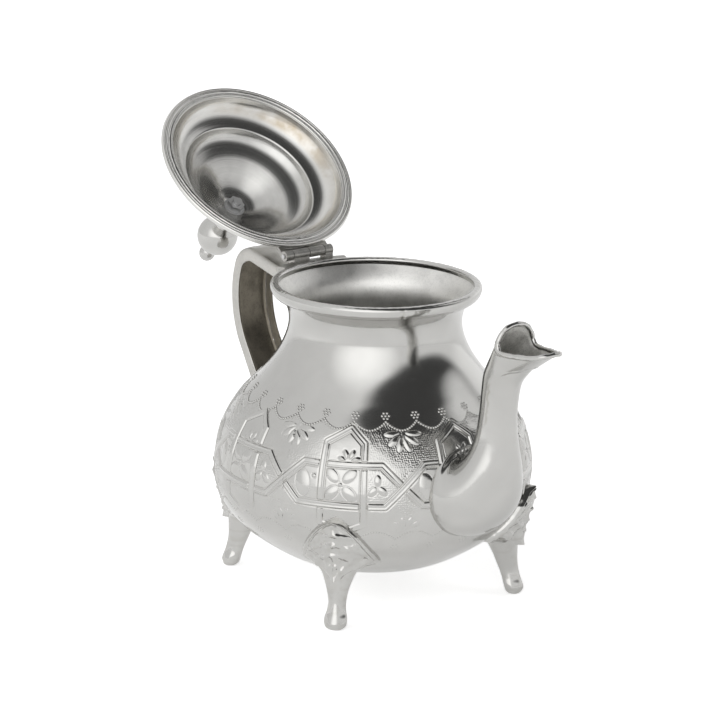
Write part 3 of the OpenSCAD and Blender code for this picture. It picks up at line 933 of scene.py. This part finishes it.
class TeapotSizes(bpy.types.PropertyGroup):
    """How finely the pieces are worked."""

    lathe_steps: bpy.props.IntProperty(
        name="Lathe Steps", description="Facets round each turned piece", min=48, max=512,
        default=288)
    sector_columns: bpy.props.IntProperty(
        name="Chasing Columns", description="Cells across one eighth of the chased band",
        min=60, max=300, default=220)
    sector_rows: bpy.props.IntProperty(
        name="Chasing Rows", description="Cells up the chased band", min=60, max=340,
        default=260)


class TeapotStudio(bpy.types.PropertyGroup):
    """Light and camera."""

    lens: bpy.props.FloatProperty(
        name="Lens", description="Focal length of the camera in millimetres", min=20, max=400,
        default=145.67)
    dome: bpy.props.FloatProperty(
        name="Dome Light", description="Brightness of the white surroundings", min=0, max=5,
        default=1.0)
    flag: bpy.props.FloatProperty(
        name="Dark Flag", description="How dark the flag over the pot's front is",
        subtype="FACTOR", min=0, max=1, default=0.93)


def finish_named(kind):
    """The finish of that name, made the first time it is asked for."""
    if kind in bpy.data.materials:
        return bpy.data.materials[kind]
    f = bpy.context.scene.teapot_finishes
    silver, cast, low = tuple(f.silver), tuple(f.cast), f.polish
    makers = {
        "polished_plate": lambda n: polished_silver(n, silver, low, low + 0.1, 0.004),
        "chased_plate": lambda n: polished_silver(n, silver, low, low + 0.12, 0.003, "recess"),
        # Inside of the pot: the silver painted 1.5 times lighter, as painted light in its shaded
        # hollow
        "neck_inside_painted_light": lambda n: worn_silver(n, [c * 1.5 for c in silver], 0.3, 0.03, 0.5),
        "tarnish": lambda n: worn_silver(n, (0.2, 0.18, 0.145), 0.22, 0.008),
        "hammered_rim": lambda n: polished_silver(n, silver, low + 0.02, low + 0.12, 0.012,
                                                  "recess"),
        "spout_plate": lambda n: polished_silver(n, silver, low, low + 0.12, 0.006, "recess"),
        "satin_casting": lambda n: worn_silver(n, [c * 1.15 for c in cast], 0.2, 0.006, 0.4),
        # Inside of the spout: the silver painted 1.5 times lighter, as painted light in its shaded
        # hollow
        "spout_inside_painted_light": lambda n: worn_silver(n, [min(1, c * 1.5) for c in silver], 0.5, 0.03),
        "solder": lambda n: worn_silver(n, cast, 0.3, 0.05),
        # Lid plate painted 1.05 times lighter than the silver: painted sheen, added to the outer
        # band's in spun_satin
        "spun_lid": lambda n: spun_satin(n, [c * 1.05 for c in silver]),
        "cast_feet": lambda n: polished_silver(n, silver, low * 0.6, low + 0.04, 0.008, "recess"),
        "fixing_metal": lambda n: worn_silver(n, cast, 0.24, 0.01),
    }
    return makers[kind](kind)


# ---------------------------------------------------------------- operators


class BuildBody(bpy.types.Operator):
    """Spun belly and neck"""

    bl_idname = "teapot.body"
    bl_label = "Body"

    def execute(self, context):
        steps = context.scene.teapot_sizes.lathe_steps
        body = turned("body", body_wall(), steps)
        settled(body, "pot", "body_silver", finish_named("polished_plate"), "body_shell")
        # The inside's finish is a lighter copy of the silver: painted light for the shaded inside
        # of the pot
        body.data.materials.append(finish_named("neck_inside_painted_light"))
        p = corners(body)
        for face in body.data.polygons:
            x, y, z = p[face.vertices[0]]
            out = Vector((x, y, 0)).normalized().dot(face.normal)
            if out < -0.05 and math.hypot(x, y) < belly_radius(z) - 0.7:
                face.material_index = 1
        return {"FINISHED"}


class BuildChasing(bpy.types.Operator):
    """Chased band round the belly, in eight parts"""

    bl_idname = "teapot.chasing"
    bl_label = "Chased Band"

    def execute(self, context):
        sizes = context.scene.teapot_sizes
        for k in range(8):
            first = PANEL_TURN + PANEL_SPAN * (k - 0.5)
            sector = chased_sector(first, first + PANEL_SPAN, sizes.sector_columns,
                                   sizes.sector_rows)
            sector.name = sector.data.name = f"chased_band_{k + 1}"
            settled(sector, "pot", "body_silver", finish_named("chased_plate"))
        return {"FINISHED"}


class BuildBorders(bpy.types.Operator):
    """Beaded swags and rosettes above and below the chased band"""

    bl_idname = "teapot.borders"
    bl_label = "Beaded Borders"

    def execute(self, context):
        for name, first, apex, sag, rosette, size in (
                ("upper_swags", SWAG_TURN, SWAG_TOP, SWAG_SAG, ROSETTES, 0.6),
                ("lower_swags", LOW_SWAG_TURN, LOW_SWAG_TOP, LOW_SWAG_SAG, LOW_ROSETTES, 0.34)):
            border = swag_border(name, first, apex, sag, rosette, size)
            settled(border, "pot", "body_silver", finish_named("polished_plate"))
        return {"FINISHED"}


class BuildRim(bpy.types.Operator):
    """Rolled and hammered ring round the mouth"""

    bl_idname = "teapot.rim"
    bl_label = "Mouth Ring"

    def execute(self, context):
        rim = turned("mouth_ring", [*RIM, RIM[0]], 420, 60)
        p = corners(rim)
        turn = np.degrees(np.arctan2(p[:, 1], p[:, 0]))
        joint = np.exp(-(((turn - RIM_JOINT_TURN) / 0.7) ** 2))
        top = ease(135.9, 136.6, p[:, 2])
        dents = lumps(turn * 1.1, p[:, 2] * 0 + np.hypot(p[:, 0], p[:, 1]) * 1.3)
        p[:, 2] += top * dents * 0.09
        p[:, :2] *= (1 - 0.004 * joint - 0.0006 * dents)[:, None]
        put_corners(rim, p)
        surface_value(rim, "recess", joint * 0.4)
        settled(rim, "pot", "rim_silver", finish_named("hammered_rim"), "rim_ring")
        return {"FINISHED"}


class BuildSpout(bpy.types.Operator):
    """Spout with its joint line, hooded mouth and rolled lip"""

    bl_idname = "teapot.spout"
    bl_label = "Spout"

    def execute(self, context):
        spout = wrapped("spout", 120, 150, spout_skin, angle=50)
        outer = len(spout.data.polygons)
        modified(spout, "SOLIDIFY", thickness=SPOUT_WALL * MM, offset=-1)
        inner = range(outer, 2 * outer)
        buried(spout, 0.45)
        p = corners(spout)
        middle = np.interp(p[:, 2], SPOUT[:, 1], SPOUT[:, 0])
        round_it = np.degrees(np.arctan2(p[:, 1], p[:, 0] - middle)) % 360
        wander = 4 * lumps(p[:, 2] / 1.3, p[:, 2] * 0)
        seam = (np.exp(-(((round_it - SPOUT_JOINT_TURN - wander) / 4) ** 2)) * ease(93, 96, p[:, 2])
                * ease(114, 111, p[:, 2]))
        surface_value(spout, "recess", seam)
        settled(spout, "pot", "spout_silver", finish_named("spout_plate"), "spout_left",
                "spout_right")
        # Second finish: the spout's inside, a lighter copy of the silver, painted light for its
        # shade
        spout.data.materials.append(finish_named("spout_inside_painted_light"))
        for face in spout.data.polygons:
            face.material_index = int(face.index in inner)
        lip = wrapped("mouth_roll", 20, 200, lip_roll, angle=60)
        settled(lip, "pot", "spout_silver", finish_named("spout_plate"))
        surface_value(lip, "recess", np.zeros(len(lip.data.vertices)))
        return {"FINISHED"}


class BuildHandle(bpy.types.Operator):
    """Cast channel handle, open towards the pot"""

    bl_idname = "teapot.handle"
    bl_label = "Handle"

    def execute(self, context):
        path = handle_back()

        def place(s, t):
            here, section = along(path, t), along(CHANNEL, s)
            return (here[:, 0] + here[:, 2] * section[:, 0], section[:, 1],
                    here[:, 1] + here[:, 3] * section[:, 0])

        handle = capped(wrapped("handle", 96, 220, place, angle=50))
        buried(roughened(welded(handle), 4.0, 0.12))
        settled(handle, "pot", "handle_silver", finish_named("satin_casting"), "handle")
        handle.data.materials.append(finish_named("tarnish"))
        ways = surface_directions(handle)
        for face, way in zip(handle.data.polygons, ways):
            face.material_index = int(way[0] > 0.62)
        return {"FINISHED"}


class BuildLid(bpy.types.Operator):
    """Domed lid with its rolled edge and mouldings"""

    bl_idname = "teapot.lid"
    bl_label = "Lid"

    def execute(self, context):
        line = np.vstack([LID_UNDER, LID_TOP]) + (0, LID_SEAT)
        lid = turned("lid", [*line, line[0]], context.scene.teapot_sizes.lathe_steps, 50)
        p = corners(lid)
        r, h = np.hypot(p[:, 0], p[:, 1]), p[:, 2] - LID_SEAT
        turn = np.degrees(np.arctan2(p[:, 1], p[:, 0]))
        surface_value(lid, "turned", r * 0.9 + h * 0.6)
        stain = ease(36, 38.5, r) * ease(42, 40, r) * np.exp(-(((turn - 60) / 50) ** 2))
        surface_value(lid, "stain", stain)
        flat = (r > 42) & (r < 45) & (h < 0.5)
        p[:, 2] += np.where(flat, lumps(turn * 1.6, r * 1.7) * 0.06, 0)
        put_corners(lid, p)
        one = bead(0.42, 0.8)
        ring = np.linspace(0, 2 * math.pi, 320, endpoint=False)
        spots = [Matrix.Translation(Vector((AXIS_X + LID_BEAD_R * MM * math.cos(a),
                                            LID_BEAD_R * MM * math.sin(a),
                                            (LID_SEAT + 0.12) * MM)))
                 @ Matrix.Rotation(math.pi, 4, "X") for a in ring[:40]]
        part = joined("beads", copies(one, spots))
        beads = joined("lid_beads", copies(part, [turn_about_axis(45 * k) for k in range(8)]))
        removed(one)
        removed(part)
        settled(opened(lid), "lid", "lid_silver", finish_named("spun_lid"), "lid_dome",
                "lid_ring")
        settled(opened(beads), "lid", "lid_ring_silver", finish_named("polished_plate"))
        return {"FINISHED"}


class BuildFinial(bpy.types.Operator):
    """Turned finial on the lid"""

    bl_idname = "teapot.finial"
    bl_label = "Finial"

    def execute(self, context):
        line = [(0.0, 31.35), *FINIAL]
        finial = turned("finial", [(r, z + LID_SEAT) for r, z in line], 96, 60)
        settled(opened(finial), "lid", "finial_silver", finish_named("polished_plate"),
                "finial_knob")
        return {"FINISHED"}


class BuildFeet(bpy.types.Operator):
    """Four cast feet with leaf shields and hoofs"""

    bl_idname = "teapot.feet"
    bl_label = "Feet"

    def execute(self, context):
        leg = capped(wrapped("leg", 72, 96, leg_skin, angle=60))
        shield = wrapped("shield", 110, 110, shield_skin, weld=False)
        foot = joined("foot", [buried(leg), shield])
        roughened(foot, 2.2, 0.07)
        p = corners(foot)
        surface_value(foot, "recess", np.clip(lumps(p[:, 1] * 0.8, p[:, 2] * 0.8), 0, 1) * 0.4)
        for turn, node, made in zip(FOOT_TURNS, FOOT_NODES, copies(
                foot, [turn_about_axis(t) for t in FOOT_TURNS])):
            made.name = made.data.name = "cast_" + node
            settled(made, "pot", "foot_silver", finish_named("cast_feet"), node)
        removed(foot)
        return {"FINISHED"}


SADDLE_AT, SADDLE_SIZE, SADDLE_BEND_R = (-47.0, 0, 134.9), (2.1, 17.5, 1.3), 46.5
LEAF_SOLDER_SIZE, LEAF_SOLDER_TILT = (1.5, 11.5, 2.4), math.radians(-40)


def solder_lump(name, at, size, tilt=0.0):
    """Rough run of solder: a lumpy mound centred at the point, in mm about the pot's axis."""
    nothing_selected()
    bpy.ops.mesh.primitive_uv_sphere_add(segments=56, ring_count=28, radius=1)
    lump = named(name)
    p = np.empty(len(lump.data.vertices) * 3)
    lump.data.vertices.foreach_get("co", p)
    p = p.reshape(-1, 3) * size
    way = p / np.maximum(np.linalg.norm(p, axis=1)[:, None], 1e-9)
    rough = lumps(p[:, 1] * 0.7 + 40, p[:, 0] * 0.8 + way[:, 2] * 2)
    fine = lumps(p[:, 1] * 1.6, p[:, 0] * 1.7 + way[:, 2] * 3)
    p = p + way * (rough * 0.35 + fine * 0.2)[:, None]
    c, s = math.cos(tilt), math.sin(tilt)
    p = np.stack([c * p[:, 0] + s * p[:, 2], p[:, 1], -s * p[:, 0] + c * p[:, 2]], -1)
    put_corners(lump, p + np.array(at))
    return smooth_shaded(lump, 60)


class BuildSolder(bpy.types.Operator):
    """Rough solder over the lid's hinge leaf and the saddle on the rim"""

    bl_idname = "teapot.solder"
    bl_label = "Hinge Solder"

    def execute(self, context):
        saddle = solder_lump("saddle_solder", SADDLE_AT, SADDLE_SIZE)
        p = corners(saddle)
        p[:, 0] += SADDLE_BEND_R - np.sqrt(SADDLE_BEND_R ** 2 - p[:, 1] ** 2)
        put_corners(saddle, p)
        settled(saddle, "pot", "hinge_silver", finish_named("solder"))
        low, high = (np.array(c) / MM - (AXIS_X / MM, 0, 0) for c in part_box("hinge_leaf"))
        run = solder_lump("leaf_solder", (low[0] + 1.7, 0, high[2] - 1.6), LEAF_SOLDER_SIZE,
                          LEAF_SOLDER_TILT)
        settled(run, "lid", "hinge_silver", finish_named("solder"))
        return {"FINISHED"}


class BuildFixings(bpy.types.Operator):
    """Finishes of the hinge, pin, base disc and the finial's nut, washer and stud"""

    bl_idname = "teapot.fixings"
    bl_label = "Hinge and Fixings"

    def execute(self, context):
        kinds = {
            "base_disc": "polished_plate", "hinge_bracket": "solder", "hinge_leaf": "solder",
            "hinge_pin": "fixing_metal", "finial_stud": "fixing_metal",
            "finial_washer": "fixing_metal", "finial_nut": "fixing_metal"}
        for node, kind in kinds.items():
            obj = frame["nodes"][node]
            if not obj.material_slots:
                obj.data.materials.append(None)
            for place in obj.material_slots:
                place.material = finish_named(kind)
        return {"FINISHED"}


# Glow of the floor in reflections, and to the camera
FLOOR_GLOW, FLOOR_GLOW_SEEN = 0.3, 0.6
CAMERA_AT = (0.961, -0.7736, 0.4542)
# Degrees: tilt up from looking straight down, roll, and turn round the vertical
CAMERA_TILT, CAMERA_ROLL, CAMERA_TURN = 72.209, -0.995, 51.29
CAMERA_SHIFT_X, CAMERA_SHIFT_Y = -0.0184, 0.1247


class SetStage(bpy.types.Operator):
    """Pale floor, white surroundings with a dark flag, soft lamps and the camera"""

    bl_idname = "teapot.stage"
    bl_label = "Stage"

    def execute(self, context):
        studio = context.scene.teapot_studio
        context.scene.view_settings.view_transform = "Standard"
        self.add_floor()
        self.add_surroundings(context.scene, studio)
        self.add_lamp("left_softbox", (-0.9, -1.5, 1.1), 0.9, 9)
        self.add_lamp("right_softbox", (1.2, 1.3, 1.3), 0.9, 6)
        camera = bpy.data.cameras.new("camera")
        camera.lens, camera.sensor_width = studio.lens, 36
        camera.shift_x, camera.shift_y = CAMERA_SHIFT_X, CAMERA_SHIFT_Y
        camera.clip_start, camera.clip_end = 0.01, 50
        view = bpy.data.objects.new("camera", camera)
        context.collection.objects.link(view)
        view.location = CAMERA_AT
        view.rotation_euler = [math.radians(a) for a in (CAMERA_TILT, CAMERA_ROLL, CAMERA_TURN)]
        context.scene.camera = view
        return {"FINISHED"}

    def add_floor(self):
        nothing_selected()
        bpy.ops.mesh.primitive_circle_add(vertices=96, radius=12, fill_type="NGON")
        floor = named("floor")
        floor.location.z = -0.0002
        bpy.ops.object.transform_apply()
        material, paint = new_finish("pale_floor")
        lit, seen = (paint.add("ShaderNodeBsdfPrincipled", None, {
            "Base Color": colour((0.82, 0.82, 0.82)), "Roughness": 0.9,
            "Emission Color": colour((1, 1, 1)), "Emission Strength": glow}).outputs[0]
            for glow in (FLOOR_GLOW, FLOOR_GLOW_SEEN))
        direct = paint.number("ShaderNodeLightPath", None, None, "Is Camera Ray")
        both = paint.add("ShaderNodeMixShader", None, {0: direct, 1: lit, 2: seen})
        paint.add("ShaderNodeOutputMaterial", None, {"Surface": both.outputs[0]})
        floor.data.materials.append(material)

    def add_surroundings(self, scene, studio):
        scene.world = bpy.data.worlds.new("studio")
        paint = Paint(scene.world)
        way = paint.add("ShaderNodeTexCoord").outputs["Generated"]

        def towards(turn, rise):
            a, e = math.radians(turn), math.radians(rise)
            toward = (math.cos(e) * math.cos(a), math.cos(e) * math.sin(a), math.sin(e))
            node = paint.add("ShaderNodeVectorMath", {"operation": "DOT_PRODUCT"},
                             {0: way, 1: toward})
            return Number(paint, node.outputs["Value"])

        flag = towards(49, 58.5).between(0.655, 0.745)
        window = towards(-52, 18).between(0.72, 0.98)
        side = towards(105, -4).between(0.8, 1.0)
        level = 0.9 + window * 0.72 + side * 0.24 - towards(180, 10).between(0.2, 1.0) * 0.1
        gap = towards(76, 38).between(0.93, 0.985)
        light = level * (1 - flag * (1 - gap) * studio.flag) * studio.dome
        direct = paint.number("ShaderNodeLightPath", None, None, "Is Camera Ray")
        strength = direct + (1 - direct) * light
        glow = paint.add("ShaderNodeBackground", None, {"Strength": strength})
        glow.inputs["Color"].default_value = colour((1, 1, 1))
        paint.add("ShaderNodeOutputWorld", None, {"Surface": glow.outputs[0]})

    def add_lamp(self, name, at, size, power):
        lamp = bpy.data.lights.new(name, "AREA")
        lamp.shape, lamp.size, lamp.energy = "DISK", size, power
        obj = bpy.data.objects.new(name, lamp)
        bpy.context.collection.objects.link(obj)
        obj.location = at
        obj.visible_glossy = False
        aim = Vector((0, 0, 0.08)) - Vector(at)
        obj.rotation_euler = aim.to_track_quat("-Z", "Y").to_euler()


STEPS = (SetStage, BuildBody, BuildChasing, BuildBorders, BuildRim, BuildSpout, BuildHandle,
         BuildLid, BuildFinial, BuildFeet, BuildSolder, BuildFixings)


class TeapotPanel(bpy.types.Panel):
    """Lists the pieces and settings of the teapot"""

    bl_idname = "VIEW3D_PT_teapot"
    bl_label = "Silver Teapot"
    bl_space_type = "VIEW_3D"
    bl_region_type = "UI"
    bl_category = "Teapot"

    def draw(self, context):
        layout = self.layout
        for group in (context.scene.teapot_sizes, context.scene.teapot_finishes,
                      context.scene.teapot_studio):
            box = layout.box()
            for key in group.__annotations__:
                box.prop(group, key)
        for step in STEPS:
            layout.operator(step.bl_idname)


GROUPS = (TeapotSizes, TeapotFinishes, TeapotStudio)
CLASSES = (*GROUPS, *STEPS, TeapotPanel)


def register():
    for cls in CLASSES:
        bpy.utils.register_class(cls)
    bpy.types.Scene.teapot_sizes = bpy.props.PointerProperty(type=TeapotSizes)
    bpy.types.Scene.teapot_finishes = bpy.props.PointerProperty(type=TeapotFinishes)
    bpy.types.Scene.teapot_studio = bpy.props.PointerProperty(type=TeapotStudio)


def unregister():
    del bpy.types.Scene.teapot_sizes
    del bpy.types.Scene.teapot_finishes
    del bpy.types.Scene.teapot_studio
    for cls in reversed(CLASSES):
        bpy.utils.unregister_class(cls)


def main():
    register()
    for step in STEPS:
        group, name = step.bl_idname.split(".")
        getattr(getattr(bpy.ops, group), name)()


if __name__ == "__main__":
    main()
